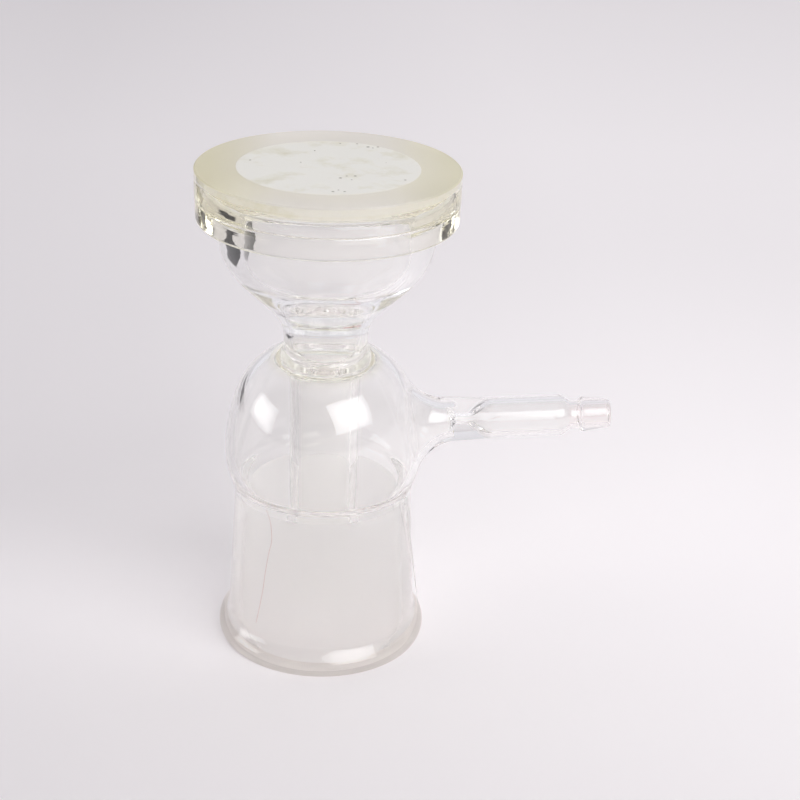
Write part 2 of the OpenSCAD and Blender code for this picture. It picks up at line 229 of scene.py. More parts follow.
def outsideOutline(g, at):
    # bead, socket, chamber, neck, bowl and the flange's two plates, from below upward; then the face
    beadCentre = (g["beadRadius"] - g["beadRound"], g["beadRise"])
    beadStart = -math.degrees(math.asin(g["beadRise"] / g["beadRound"]))
    bead = arcPoints(beadCentre, g["beadRound"], beadStart, g["beadTurn"], 0.5)
    wallRadius = g["mouthRadius"] + g["socketWall"] + g["leadIn"] * g["taper"]
    socket = linePoints((wallRadius - g["socketFrom"] * g["taper"], g["socketFrom"]),
                        (wallRadius - at["groundTop"] * g["taper"], at["groundTop"]), 1.5)
    outside = sweepJoin(bead, socket, g["beadSweep"], 10)
    outside = sweepJoin(outside, chamberOutline(g, 0, g["neckRadius"]), g["creaseSweep"])
    cup = cupPath(g["step"], (g["neckRadius"], at["neckZ"]), g["bowlSlope"], g["bowlSweep"],
                  at["sweepZ"], at["bowlCentre"], g["bowlRound"], g["collarZ"], g["cupRelax"])
    outside = sweepJoin(outside, cup, g["neckSweep"])
    cornerRadius = g["collarRadius"] - g["plateRound"]
    under = linePoints((g["bowlRadius"], g["collarZ"]), (cornerRadius, g["collarZ"]), 0.9)
    outside = sweepJoin(outside, under, g["collarSweep"])
    corner = arcPoints((cornerRadius, g["collarZ"] + g["plateRound"]), g["plateRound"], -90, 0, 0.2)
    plate = linePoints(corner[-1], (g["collarRadius"], g["flangeZ"] - g["collarDrop"]), 1.2)
    seam = np.array([(g["collarRadius"] - g["seamDepth"], g["flangeZ"] - g["seamDrop"])])
    upper = arcPoints((at["flangeRadius"] - g["edgeRound"], g["flangeZ"] + g["edgeLift"]),
                      g["edgeRound"], g["edgeTurn"], 0, 0.1)
    rim = linePoints(upper[-1], (at["flangeRadius"], at["faceZ"] - g["faceBevel"]), 1.2)
    outside = np.concatenate([outside, corner[1:], plate[1:], seam, upper, rim[1:-1]])
    face = linePoints((at["flangeRadius"] - g["faceBevel"], at["faceZ"]),
                      (at["seatRadius"], at["faceZ"]), 1.0)
    return outside, np.concatenate([rim[-1:], face])


def cavityOutline(g, at, boreRadius, boreZ):
    # the bore of the neck and the cavity under the disc, from above downward
    centre = (g["cavityRadius"] - g["cavityRound"], at["bowlCentre"][1] - g["cavityDrop"])
    # glass that ran in under the disc rounds the top edge
    fillet = g["filletRound"]
    filletTop = math.degrees(math.asin(g["filletRise"] / fillet))
    brim = arcPoints((g["cavityRadius"] - fillet, at["seatZ"] - g["filletRise"]),
                     fillet, 0, filletTop, 0.45)
    # the floor slopes less than the bowl does, so the bore reaches it through thick glass
    floor = math.radians(g["cavityFloor"])
    floorEnd = centre[0] + g["cavityRound"] * math.sin(floor)
    reach = floorEnd - (boreRadius + g["boreSweep"] * (1 - math.sin(floor)))
    mouthZ = (centre[1] - g["cavityRound"] * math.cos(floor) - reach * math.tan(floor)
              - g["boreSweep"] * math.cos(floor))
    cavity = cupPath(g["step"], (boreRadius, boreZ), g["cavityFloor"], g["boreSweep"],
                     mouthZ, centre, g["cavityRound"], brim[0][1], g["cavityRelax"])
    return np.concatenate([cavity, brim[1:]])[::-1]


def drainOutline(g, at):
    # seat, cavity, neck and the drip tube, down its bore and back up its outside to the ring seal
    boreRadius, dripBore = g["neckRadius"] - g["neckWall"], g["dripRadius"] - g["dripWall"]
    boreOpens, polish = at["boreOpens"], g["dripPolish"]
    boreZ, tipZ = boreOpens + g["sealHeight"], g["dripEnd"] + polish
    cavity = cavityOutline(g, at, boreRadius, boreZ)
    throat = linePoints((boreRadius, boreZ), (dripBore, boreOpens), 0.7)
    dripInside = linePoints((dripBore, boreOpens), (dripBore, tipZ), 1.6)
    tipInside = arcPoints((dripBore + polish, tipZ), polish, 180, 270, 0.2)
    tipOutside = arcPoints((g["dripRadius"] - polish, tipZ), polish, -90, 0, 0.2)
    dripOutside = linePoints((g["dripRadius"], tipZ), (g["dripRadius"], boreOpens), 1.6)
    seat = linePoints((at["seatRadius"], at["seatZ"]), cavity[0], 0.8)
    drain = sweepJoin(sweepJoin(cavity, throat, g["throatSweep"], 10), dripInside, g["dripSweep"], 10)
    return np.concatenate([seat, drain[1:], tipInside[1:], tipOutside, dripOutside[1:]])


def bodyOutline(g):
    # the closed outline of the turned glass, outside upward and inside downward: (points, zones);
    # the last number of linePoints and arcPoints is how far apart the points stand, in mm
    at = bodyLevels(g)
    outside, face = outsideOutline(g, at)
    seatWall = linePoints((at["seatRadius"], at["faceZ"]), (at["seatRadius"], at["seatZ"]), 1.0)

    # ring seal, chamber, ground taper, polished lip
    chamber = chamberOutline(g, g["chamberWall"], g["dripRadius"])[::-1]
    inside = sweepJoin(drainOutline(g, at), chamber, g["sealSweep"], 12)
    ease = np.array([(g["mouthRadius"] - g["groundLength"] * g["taper"], at["groundTop"])])
    easeStart = ease + (g["easeOut"], g["easeRise"])
    inside = sweepJoin(inside, np.concatenate([easeStart, ease]), g["easeSweep"], 14)
    taper = linePoints(ease[0], (g["mouthRadius"], g["leadIn"]), 1.6)
    lipCentre = (g["mouthRadius"] + 1.5 * g["lipRound"], g["lipRound"])
    lead = linePoints((g["mouthRadius"], g["leadIn"]),
                      (lipCentre[0] - g["lipRound"], g["lipRound"]), 0.8)
    lip = arcPoints(lipCentre, g["lipRound"], 180, 270, 0.25)
    base = linePoints(lip[-1], (outside[0][0], 0), 0.8)

    plates = outside[:, 1] > g["collarZ"] - 0.01
    tooClose = 0.02
    stretches = [(outside[~plates], "polished"), (outside[plates], "pressed"), (face, "groundFace"),
                 (seatWall, "polished"), (inside, "polished"),
                 (np.concatenate([taper, lead[1:]]), "groundTaper"),
                 (np.concatenate([lip, base[1:-1]]), "groundMouth")]
    points, zones = [], []
    for path, zone in stretches:
        for p in path:
            if points and np.linalg.norm(points[-1] - p) < tooClose:
                continue
            points.append(p)
            zones.append(zone)
    # an edge takes the zone of the point that it starts from; the last of a clear stretch is polished
    following = zones[1:] + zones[:1]
    zones = ["polished" if zone != after and "ground" not in zone else zone
             for zone, after in zip(zones, following)]
    return np.array(points), zones


def chamberHole(g, a, points):
    # the window in the chamber's wall where the side arm's flare starts: outline indices of both walls
    rows = chamberOutline(g, 0, g["neckRadius"]), chamberOutline(g, g["chamberWall"], g["dripRadius"])
    low = int(np.argmin(abs(rows[0][:, 1] - a["holeLow"])))
    high = int(np.argmin(abs(rows[0][:, 1] - a["holeHigh"])))
    found = []
    for arc in rows:
        at = [int(np.argmin(np.hypot(*(points - arc[k]).T))) for k in range(low, high + 1)]
        found.append(at)
    return found


# distances are along the arm's own axis from the chamber's, in mm; radii are those of the tube
sideArm = dict(
    height=54.2, tiltDeg=2.6, flareTiltDeg=8.477, flareJoint=(28.986, 55.516), flareEnd=29.262,
    bendFrom=27.5, bendTo=34.0, holeLow=41.0, holeHigh=68.0, holeHalfDeg=34,
    rootRadius=5.3, sweep=10.0, boreRootRadius=2.9, boreSweep=12.4, radius=4.9, bore=3.6,
    closingStart=29.76, closingLength=1.4, restriction=0.85, restrictionLength=2.4, openingLength=5.0,
    rootStart=0.18, closingGap=0.3, funnel=7.0, funnelPull=9, length=17.2, shoulderLength=3.0,
    waistRadius=3.35, waistLength=4.9, barbFoot=((-0.25, 0), (-0.06, 0.06), (0, 0.22)),
    tipEdge=((0.02, 0.12), (0.15, 0)), tipBore=1.5,
    barbRadius=4.15, barbRound=0.7, barbLength=7.2, tipRadius=3.45, tipRound=0.8, barbBore=2.4,
    wallNear=4.0, wallFar=30.0, sweepNear=15.0, sweepFar=45.0, wallSteps=7, arcSteps=12,
)


def armCentre(a, s):
    # the centre line: square to the wall at first, then bending to the arm's own rise
    flare, arm = math.radians(a["flareTiltDeg"]), math.radians(a["tiltDeg"])
    s = np.asarray(s, float)
    back = s - a["flareEnd"]
    flareX = a["flareJoint"][0] + back * math.cos(flare)
    flareZ = a["flareJoint"][1] + back * math.sin(flare)
    armX, armZ = s * math.cos(arm), a["height"] + s * math.sin(arm)
    t = np.clip((s - a["bendFrom"]) / (a["bendTo"] - a["bendFrom"]), 0, 1)
    w = t * t * t * (t * (6 * t - 15) + 10)
    return np.stack([flareX + (armX - flareX) * w, 0 * s, flareZ + (armZ - flareZ) * w], -1)


def armPlace(a, s, d, phi):
    # a point at distance d from the centre line, phi round it from the top, s along it
    here = armCentre(a, s)
    along = armCentre(a, s + 0.01) - armCentre(a, s - 0.01)
    along /= np.linalg.norm(along, axis=-1, keepdims=True)
    up = np.stack([-along[..., 2], 0 * along[..., 0], along[..., 0]], -1)
    side = np.array([0.0, 1.0, 0.0])
    return here + d[..., None] * (np.cos(phi)[..., None] * up + np.sin(phi)[..., None] * side)


def wallAlong(a, g, d, phi, inset):
    # how far along the axis the chamber's wall stands at distance d and angle phi, by halving a stretch
    d, phi = np.broadcast_arrays(np.asarray(d, float), np.asarray(phi, float))
    low, high = np.full(d.shape, a["wallNear"]), np.full(d.shape, a["wallFar"])
    for _ in range(36):
        middle = (low + high) / 2
        p = armPlace(a, middle, d, phi)
        outside = np.hypot(p[..., 0], p[..., 1]) > chamberWallRadius(g, p[..., 2], inset)
        low, high = np.where(outside, low, middle), np.where(outside, middle, high)
    return (low + high) / 2


def flareTable(a, g, inset, sweep, root):
    # for each angle round the axis: the sweep's centre along the axis and where it touches the wall
    phi = np.radians(np.arange(0, 361, 3.0))
    d = np.linspace(root, root + sweep, 90)
    wall = wallAlong(a, g, d[None, :], phi[:, None], inset)
    low, high = np.full(len(phi), a["sweepNear"]), np.full(len(phi), a["sweepFar"])
    for _ in range(40):
        middle = (low + high) / 2
        near = np.hypot(d[None, :] - (root + sweep), wall - middle[:, None]).min(1)
        low, high = np.where(near < sweep, middle, low), np.where(near < sweep, high, middle)
    centre = (low + high) / 2
    touch = d[np.hypot(d[None, :] - (root + sweep), wall - centre[:, None]).argmin(1)]
    smooth = np.array([0.25, 0.5, 0.25])
    for _ in range(3):
        ring = np.concatenate([touch[-2:-1], touch, touch[1:2]])
        touch = np.convolve(ring, smooth, "valid")
    return phi, centre, touch


def flareSpokes(a, g, loop, inset, sweep, root):
    # from the window's edge along the wall, then up the sweep to the root of the tube
    table = flareTable(a, g, inset, sweep, root)
    centreLine = armCentre(a, np.array(a["flareEnd"]))
    tilt = math.radians(a["flareTiltDeg"])
    axis = np.array([math.cos(tilt), 0, math.sin(tilt)])
    up = np.array([-axis[2], 0, axis[0]])
    offset = loop - centreLine
    d0 = np.hypot(offset @ up, offset[:, 1])
    phi0 = np.unwrap(np.arctan2(offset[:, 1], offset @ up))
    turn = np.sign(phi0[-1] - phi0[0])
    even = phi0[0] + turn * 2 * math.pi * np.arange(len(loop)) / len(loop)
    even += np.mean(phi0 - even)
    rows = []
    wallSteps, arcSteps = a["wallSteps"], a["arcSteps"]
    total = wallSteps + arcSteps
    for k in range(1, wallSteps + 1):
        phi = phi0 + (even - phi0) * k / total
        touch = np.interp(phi % (2 * math.pi), table[0], table[2])
        d = d0 + (touch - d0) * k / wallSteps
        rows.append(armPlace(a, wallAlong(a, g, d, phi, inset), d, phi))
    for k in range(1, arcSteps + 1):
        phi = phi0 + (even - phi0) * (wallSteps + k) / total
        where = phi % (2 * math.pi)
        centre = np.interp(where, table[0], table[1])
        touch = np.interp(where, table[0], table[2])
        first = np.arcsin(np.clip((root + sweep - touch) / sweep, -1, 1))
        angle = first + (math.pi / 2 - first) * k / arcSteps
        s, d = centre - sweep * np.cos(angle), root + sweep - sweep * np.sin(angle)
        rows.append(armPlace(a, s, d, phi))
    return rows, even


def eased(t):
    # 0 to 1, level at both ends
    return 0.5 - 0.5 * math.cos(math.pi * t)


def armSections(a):
    # (distance along the axis, radius) from the root over the barb and back through the bore
    s0 = a["closingStart"]
    restrictionStart = s0 + a["closingLength"]
    restrictionEnd = restrictionStart + a["restrictionLength"]
    boreStart = restrictionEnd + a["openingLength"]
    boreEnd = boreStart + a["length"]
    barbStart = boreEnd + a["waistLength"]
    tip = barbStart + a["barbLength"]
    waistAt = boreEnd + a["shoulderLength"]
    out = []
    for t in np.linspace(a["rootStart"], 1, 8):
        out.append((s0 + (boreStart - s0) * t, a["rootRadius"] + (a["radius"] - a["rootRadius"]) * t))
    out += [(s, a["radius"]) for s in np.linspace(boreStart, boreEnd, 12)[1:]]
    for t in np.linspace(0, 1, 11)[1:]:
        out.append((boreEnd + a["shoulderLength"] * t,
                    a["radius"] + (a["waistRadius"] - a["radius"]) * eased(t)))
    footStart = barbStart + a["barbFoot"][0][0]
    out += [(waistAt + (footStart - waistAt) * t, a["waistRadius"]) for t in (0.4, 0.8)]
    out += [(barbStart + s, a["waistRadius"] + rise) for s, rise in a["barbFoot"]]
    r = a["barbRound"]
    for deg in np.linspace(-90, 0, 8):
        u = math.radians(deg)
        out.append((barbStart + r + r * math.sin(u), a["barbRadius"] - r + r * math.cos(u)))
    for t in np.linspace(0, 1, 7)[1:]:
        out.append((barbStart + r + (a["barbLength"] - r - a["tipRound"]) * t,
                    a["barbRadius"] + (a["tipRadius"] - a["barbRadius"]) * t))
    r = a["tipRound"]
    for deg in np.linspace(0, 90, 9)[1:]:
        u = math.radians(deg)
        out.append((tip - r + r * math.sin(u), a["tipRadius"] - r + r * math.cos(u)))
    out += [(tip - s, a["barbBore"] + rise) for s, rise in a["tipEdge"]]
    out += [(s, a["barbBore"]) for s in np.linspace(tip - a["tipBore"], waistAt, 6)]
    for t in np.linspace(0, 1, 9)[1:]:
        out.append((waistAt - a["shoulderLength"] * t,
                    a["barbBore"] + (a["bore"] - a["barbBore"]) * eased(t)))
    out += [(s, a["bore"]) for s in np.linspace(boreEnd, restrictionEnd + a["funnel"], 11)[1:]]
    # the bore closes to the restriction as a drawn tube does, and opens into the flare in the same way
    for t in np.linspace(1, 0, 19)[1:]:
        ease = math.sin(math.pi / 2 * t) * (1 - math.exp(-a["funnelPull"] * t))
        out.append((restrictionEnd + a["funnel"] * t,
                    a["restriction"] + (a["bore"] - a["restriction"]) * ease))
    out += [(s, a["restriction"]) for s in np.linspace(restrictionEnd, restrictionStart, 5)[1:]]
    for t in np.linspace(0, 1, 13)[1:]:
        out.append((restrictionStart + (s0 - a["closingGap"] - restrictionStart) * t,
                    a["restriction"] + (a["boreRootRadius"] - a["restriction"]) * eased(t)))
    return out


def buildGlassBody(g, a, materials):
    # the turned rings, with a window cut in both walls of the chamber
    points, zones = bodyOutline(g)
    rows, turns = len(points), g["segments"]
    angles = 2 * math.pi * np.arange(turns) / turns
    grid = np.stack([points[:, None, 0] * np.cos(angles), points[:, None, 0] * np.sin(angles),
                     np.repeat(points[:, 1:2], turns, 1)], -1)
    flat = grid.reshape(-1, 3)
    half = round(a["holeHalfDeg"] / 360 * turns)
    outer, inner = chamberHole(g, a, points)
    cut = set()
    for at in (outer, inner):
        for i in range(min(at), max(at)):
            cut |= {(i, j % turns) for j in range(-half, half)}
    # material slots, in the order that the body is given them
    slots = {"polished": 0, "groundFace": 1, "groundTaper": 2, "pressed": 3, "groundMouth": 4}
    faces, faceSlots = [], []
    for i in range(rows):
        below, above = i * turns, (i + 1) % rows * turns
        slot = slots[zones[i]]
        for j in range(turns):
            if (i, j) in cut:
                continue
            k = (j + 1) % turns
            faces.append((below + j, below + k, above + k, above + j))
            faceSlots.append(slot)

    # edge of the window, the same way round on both walls, and the arm's rings from wall to wall
    last = len(outer) - 1
    edge = [(0, j) for j in range(-half, half)] + [(k, half) for k in range(last)]
    edge += [(last, j) for j in range(half, -half, -1)] + [(k, -half) for k in range(last, 0, -1)]
    loops = [[at[k] * turns + j % turns for k, j in edge] for at in (outer, inner)]
    outRows, even = flareSpokes(a, g, flat[loops[0]], 0, a["sweep"], a["rootRadius"])
    inRows, _ = flareSpokes(a, g, flat[loops[1]], g["chamberWall"], a["boreSweep"], a["boreRootRadius"])
    tube = [armPlace(a, np.full(len(even), s), np.full(len(even), r), even) for s, r in armSections(a)]
    spokes = outRows + tube + inRows[::-1]
    start = rows * turns
    count = len(even)
    rings = [range(start + k * count, start + (k + 1) * count) for k in range(len(spokes))]
    rings = [loops[0]] + rings + [loops[1]]
    for below, above in zip(rings[:-1], rings[1:]):
        for j in range(count):
            k = (j + 1) % count
            faces.append((below[j], below[k], above[k], above[j]))
            faceSlots.append(slots["polished"])
    vertices = np.concatenate([flat] + spokes) * mm
    return newObject("glassBody", vertices, faces, materials, faceSlots)


def linearColour(hexCode):
    # sRGB hex to the linear values that shaders take
    parts = [int(hexCode[i:i + 2], 16) / 255 for i in (1, 3, 5)]
    return tuple(c / 12.92 if c <= 0.04045 else ((c + 0.055) / 1.055) ** 2.4 for c in parts) + (1.0,)


def addNode(tree, kind, settings=None, links=None):
    # kind: the node's type without its ShaderNode; settings: node attributes by name, sockets by name
    # or number; links: socket to (node, output)
    node = tree.nodes.new("ShaderNode" + kind)
    for key, value in (settings or {}).items():
        if isinstance(key, str) and hasattr(node, key):
            setattr(node, key, value)
        else:
            node.inputs[key].default_value = value
    for key, (source, output) in (links or {}).items():
        tree.links.new(source.outputs[output], node.inputs[key])
    return node


def newMaterial(name):
    material = bpy.data.materials.new(name)
    material.use_nodes = True
    material.node_tree.nodes.clear()
    return material, material.node_tree


def perMetre(sizeMm):
    # texture scale whose pattern repeats about once in that many millimetres
    return 1000 / sizeMm


# films on or in the glass: limits by axis in mm (r is the radius), soft edge in mm, colour
borosilicate = dict(
    ior=1.473, blown="#FEFEFD", pressed="#FBFAF5",
    waveMm=14.0, waveDepth=0.05, wave=0.12, striaeMm=1.6, striaeDepth=0.07,
    smearMm=9.0, smearFrom=0.55, smearTo=0.8, smoothest=0.0, smeared=0.035,
    # a thin dark grey line round the throat, and a reddish line of dried residue on the arm's side
    throatLines=[({"z": (83.9, 84.15), "r": (0, 9.0), "y": (-13, 2)}, 0.08, "#8F8780"),
             ({"z": (83.85, 84.25), "r": (0, 9.0), "x": (3.0, 12), "y": (-13, 2)}, 0.1, "#B0483C")],
    # a rosy film in the barb
    barbFilm=({"x": (57.5, 80)}, 1.0, "#FEFCFB"),
    # the thick glass of the ring seal looks olive, as glass does in depth, and so do the flange's sides
    sealDepth=({"z": (69.5, 77.0), "r": (8.3, 13.5)}, 0.7, "#FAFAF2"),
    flangeDepth=[({"x": (-40, -19)}, 7, "#EAE6CB"), ({"x": (20, 40)}, 7, "#EEEBD3")],
)

# ground surfaces: grit in mm; milk is how much light scatters, through how much of that goes onward
ground = dict(
    gritMm=0.5, gritDepth=0.02, bump=0.5, patchMm=16, patchiness=0.08,
    face=dict(roughness=0.42, colour="#F4F1E8", milk=0.62, through=0.35),
    taper=dict(roughness=0.7, colour="#FBFAF9", milk=0.42, through=0.5),
    mouth=dict(roughness=0.5, colour="#ECE8E4", milk=0.8, through=0.4),
)


def stained(tree, place, colour, stains):
    # glass colour with thin films on it
    at = addNode(tree, "SeparateXYZ", None, {0: place})
    flat = addNode(tree, "CombineXYZ", None, {0: (at, 0), 1: (at, 1)})
    radius = addNode(tree, "VectorMath", {"operation": "LENGTH"}, {0: (flat, 0)})
    axes = {"x": (at, 0), "y": (at, 1), "z": (at, 2), "r": (radius, "Value")}
    tone = None
    for limits, soft, film in stains:
        inside = None
        for axis, (low, high) in limits.items():
            rise = addNode(tree, "MapRange", {
                "From Min": (low - soft) * mm, "From Max": (low + soft) * mm}, {"Value": axes[axis]})
            fall = addNode(tree, "MapRange", {
                "From Min": (high + soft) * mm, "From Max": (high - soft) * mm}, {"Value": axes[axis]})
            both = addNode(tree, "Math", {"operation": "MULTIPLY"}, {0: (rise, 0), 1: (fall, 0)})
            inside = both if inside is None else addNode(
                tree, "Math", {"operation": "MULTIPLY"}, {0: (inside, 0), 1: (both, 0)})
        # a Mix node takes its colours on sockets 6 and 7 and gives the result on 2
        mixed = addNode(tree, "Mix", {
            "data_type": "RGBA", 6: linearColour(colour), 7: linearColour(film)}, {0: (inside, 0)})
        if tone:
            tree.links.new(tone[0].outputs[tone[1]], mixed.inputs[6])
        tone = (mixed, 2)
    return tone


def colourSocket(tree, place, colour, stains, socket):
    # the plain colour goes straight on the shader's socket; only stained glass takes it from nodes
    if not stains:
        return {socket: linearColour(colour)}, {}
    return {}, {socket: stained(tree, place, colour, stains)}


def flameWorkedBorosilicate(name, glass, colour, stains, pressed=False):
    # borosilicate, blown or pressed and flame-polished: clear, slightly wavy, faintly smeared in use
    material, tree = newMaterial(name)
    place = (addNode(tree, "TexCoord"), "Object")
    wave = addNode(tree, "TexNoise", {"Scale": perMetre(glass["waveMm"]), "Detail": 1.0},
                   {"Vector": place})
    bump = addNode(tree, "Bump", {"Strength": glass["wave"], "Distance": glass["waveDepth"] * mm},
                   {"Height": (wave, 0)})
    if pressed:
        # turned in the lathe while soft: fine rings that bend thin lines into what is seen through it
        level = addNode(tree, "Mapping", {"Scale": (0.0, 0.0, 1.0)}, {"Vector": place})
        rings = addNode(tree, "TexNoise", {"Scale": perMetre(glass["striaeMm"]), "Detail": 2.0},
                        {"Vector": (level, 0)})
        bump = addNode(tree, "Bump", {"Strength": 1.0, "Distance": glass["striaeDepth"] * mm},
                       {"Height": (rings, 0), "Normal": (bump, 0)})
    smear = addNode(tree, "TexNoise", {"Scale": perMetre(glass["smearMm"]), "Detail": 5.0},
                    {"Vector": place})
    rough = addNode(tree, "MapRange", {
        "From Min": glass["smearFrom"], "From Max": glass["smearTo"],
        "To Min": glass["smoothest"], "To Max": glass["smeared"]}, {"Value": (smear, 0)})
    plain, drawn = colourSocket(tree, place, colour, stains, "Base Color")
    surface = addNode(tree, "BsdfPrincipled", {
        "IOR": glass["ior"], "Transmission Weight": 1.0, **plain},
        {"Roughness": (rough, 0), "Normal": (bump, 0), **drawn})
    addNode(tree, "OutputMaterial", None, {"Surface": (surface, 0)})
    return material


def groundBorosilicate(name, glass, g, surface, stains=()):
    # ground with loose grit on a lap: a matt skin that scatters light both ways, so it looks milky;
    # the scratches are finer than the render can show, so their pattern is drawn coarser
    material, tree = newMaterial(name)
    place = (addNode(tree, "TexCoord"), "Object")
    grit = addNode(tree, "TexNoise", {"Scale": perMetre(g["gritMm"]), "Detail": 3.0}, {"Vector": place})
    patch = addNode(tree, "TexNoise", {"Scale": perMetre(g["patchMm"]), "Detail": 3.0},
                    {"Vector": place})
    bump = addNode(tree, "Bump", {"Strength": g["bump"], "Distance": g["gritDepth"] * mm},
                   {"Height": (grit, 0)})
    rough = addNode(tree, "MapRange", {
        "To Min": surface["roughness"] - g["patchiness"],
        "To Max": surface["roughness"] + g["patchiness"]}, {"Value": (patch, 0)})
    colour = surface["colour"]
    plain, drawn = colourSocket(tree, place, colour, stains, "Base Color")
    clear = addNode(tree, "BsdfPrincipled", {
        "IOR": glass["ior"], "Transmission Weight": 1.0, **plain},
        {"Roughness": (rough, 0), "Normal": (bump, 0), **drawn})
    # part of the light scatters in the crushed skin instead: back at the eye and on through the wall
    plain, drawn = colourSocket(tree, place, colour, stains, "Color")
    back = addNode(tree, "BsdfDiffuse", plain, {"Normal": (bump, 0), **drawn})
    onward = addNode(tree, "BsdfTranslucent", plain, {"Normal": (bump, 0), **drawn})
    scatter = addNode(tree, "MixShader", {0: surface["through"]}, {1: (back, 0), 2: (onward, 0)})
    skin = addNode(tree, "MixShader", {0: surface["milk"]}, {1: (clear, 0), 2: (scatter, 0)})
    addNode(tree, "OutputMaterial", None, {"Surface": (skin, 0)})
    return material


# the sintered disc, fused into the flange; middle and under are the innermost rings of its two faces
fritDisc = dict(
    segments=144, rings=48, overlap=0.05, sunk=0.05, sideStep=1.2, middle=0.5, under=1.2, sharpFrom=40,
    grains="#FFFDF3", yellowed="#EAE6D0", grit="#7D775C",
    grainMm=0.3, grainDepth=0.06, grainBump=0.6, blotMm=7, blotFrom=0.5, blotTo=0.8,
    frayMm=0.8, gritFrom=0.12, gritTo=0.4, gritCover=0.8,
    roughness=0.92, scatter=0.25, scatterMm=1.2,
    # dark grit caught in the pores, in loose clusters: x, y and radius in mm
    specks=[(2.2, -8.2, 0.7), (3.7, -6.7, 0.5), (5.5, -6.6, 0.6), (0.3, -17.9, 0.6), (2.8, -17.8, 0.5),
            (1.5, -16.8, 0.4), (3.2, 18.6, 0.5), (7.1, 18.4, 0.5), (9.5, 16.0, 0.7), (11.8, 16.1, 0.6),
            (10.6, 15.2, 0.4), (-17.3, 4.4, 0.5), (16.2, -9.1, 0.5), (4.6, -9.4, 0.4), (-6.1, 3.2, 0.35),
            (12.9, 3.6, 0.35), (-2.8, 12.4, 0.35)],
)


def sinteredBorosilicate(d):
    # glass grains sintered into a porous plate: chalk white and granular, yellowed and specked in use
    material, tree = newMaterial("sinteredBorosilicate")
    place = (addNode(tree, "TexCoord"), "Object")
    # grains are about 0.1 mm, drawn at 0.3 mm so that they show
    grain = addNode(tree, "TexVoronoi", {"Scale": perMetre(d["grainMm"])}, {"Vector": place})
    cloud = addNode(tree, "TexNoise", {
        "Scale": perMetre(d["blotMm"]), "Detail": 4.0, "Roughness": 0.62}, {"Vector": place})
    blot = addNode(tree, "MapRange", {"From Min": d["blotFrom"], "From Max": d["blotTo"]},
                   {"Value": (cloud, 0)})
    tone = addNode(tree, "Mix", {
        "data_type": "RGBA", 6: linearColour(d["grains"]), 7: linearColour(d["yellowed"])},
        {0: (blot, 0)})
    # each speck is a round spot on the plate, with edges frayed by noise
    fray = addNode(tree, "TexNoise", {"Scale": perMetre(d["frayMm"]), "Detail": 2.0}, {"Vector": place})
    flat = addNode(tree, "VectorMath", {"operation": "MULTIPLY", 1: (1, 1, 0)}, {0: place})
    marks = None
    for x, y, radius in d["specks"]:
        away = addNode(tree, "VectorMath", {"operation": "DISTANCE", 1: (x * mm, y * mm, 0)},
                       {0: (flat, 0)})
        near = addNode(tree, "MapRange", {"From Min": radius * mm, "From Max": 0.0},
                       {"Value": (away, "Value")})
        marks = near if marks is None else addNode(
            tree, "Math", {"operation": "MAXIMUM"}, {0: (marks, 0), 1: (near, 0)})
    worn = addNode(tree, "Math", {"operation": "MULTIPLY"}, {0: (marks, 0), 1: (fray, 0)})
    flecks = addNode(tree, "MapRange", {
        "From Min": d["gritFrom"], "From Max": d["gritTo"], "To Max": d["gritCover"]},
        {"Value": (worn, 0)})
    colour = addNode(tree, "Mix", {"data_type": "RGBA", 7: linearColour(d["grit"])},
                     {0: (flecks, 0), 6: (tone, 2)})
    bump = addNode(tree, "Bump", {"Strength": d["grainBump"], "Distance": d["grainDepth"] * mm},
                   {"Height": (grain, 0)})
    surface = addNode(tree, "BsdfPrincipled", {
        "Roughness": d["roughness"], "Subsurface Weight": d["scatter"],
        "Subsurface Radius": (1.0, 1.0, 0.9), "Subsurface Scale": d["scatterMm"] * mm},
        {"Base Color": (colour, 2), "Normal": (bump, 0)})
    addNode(tree, "OutputMaterial", None, {"Surface": (surface, 0)})
    return material


def buildFritDisc(d, material):
    # a turned disc that reaches a little into the glass round and under it
    top, bottom, radius = discHigh.z / mm, discLow.z / mm - d["overlap"], discHigh.x / mm
    rim = radius + discGap + d["overlap"]
    side = [(rim, z) for z in (bottom, bottom + d["sideStep"], top - d["sideStep"], top - d["sunk"])]
    profile = [(r, bottom) for r in np.linspace(d["under"], rim, 14)[:-1]] + side
    profile += [(r, top) for r in np.linspace(radius, d["middle"], d["rings"])]
    turns = d["segments"]
    angles = 2 * math.pi * np.arange(turns) / turns
    vertices = [(r * math.cos(t), r * math.sin(t), z) for r, z in profile for t in angles]
    faces = []
    for i in range(len(profile) - 1):
        for j in range(turns):
            k = (j + 1) % turns
            faces.append((i * turns + j, i * turns + k, (i + 1) * turns + k, (i + 1) * turns + j))
    faces.append(tuple(range(turns))[::-1])
    last = (len(profile) - 1) * turns
    faces.append(tuple(range(last, last + turns)))
    return newObject("sinteredDisc", np.array(vertices) * mm, faces, [material])


# a fine rosy fibre stuck to the outside of the socket: degrees from the front and height in mm
strayFibre = dict(
    way=[(-40.1, 40.4), (-38.0, 38.4), (-36.5, 36.6), (-35.4, 33.4), (-36.0, 31.2), (-37.3, 29.5),
         (-39.4, 24.6), (-40.9, 19.0), (-43.4, 13.6), (-45.6, 9.4)],
    points=80, easing=6, radius=0.045, proud=0.03, colour="#D9B4AC", roughness=0.6,
)


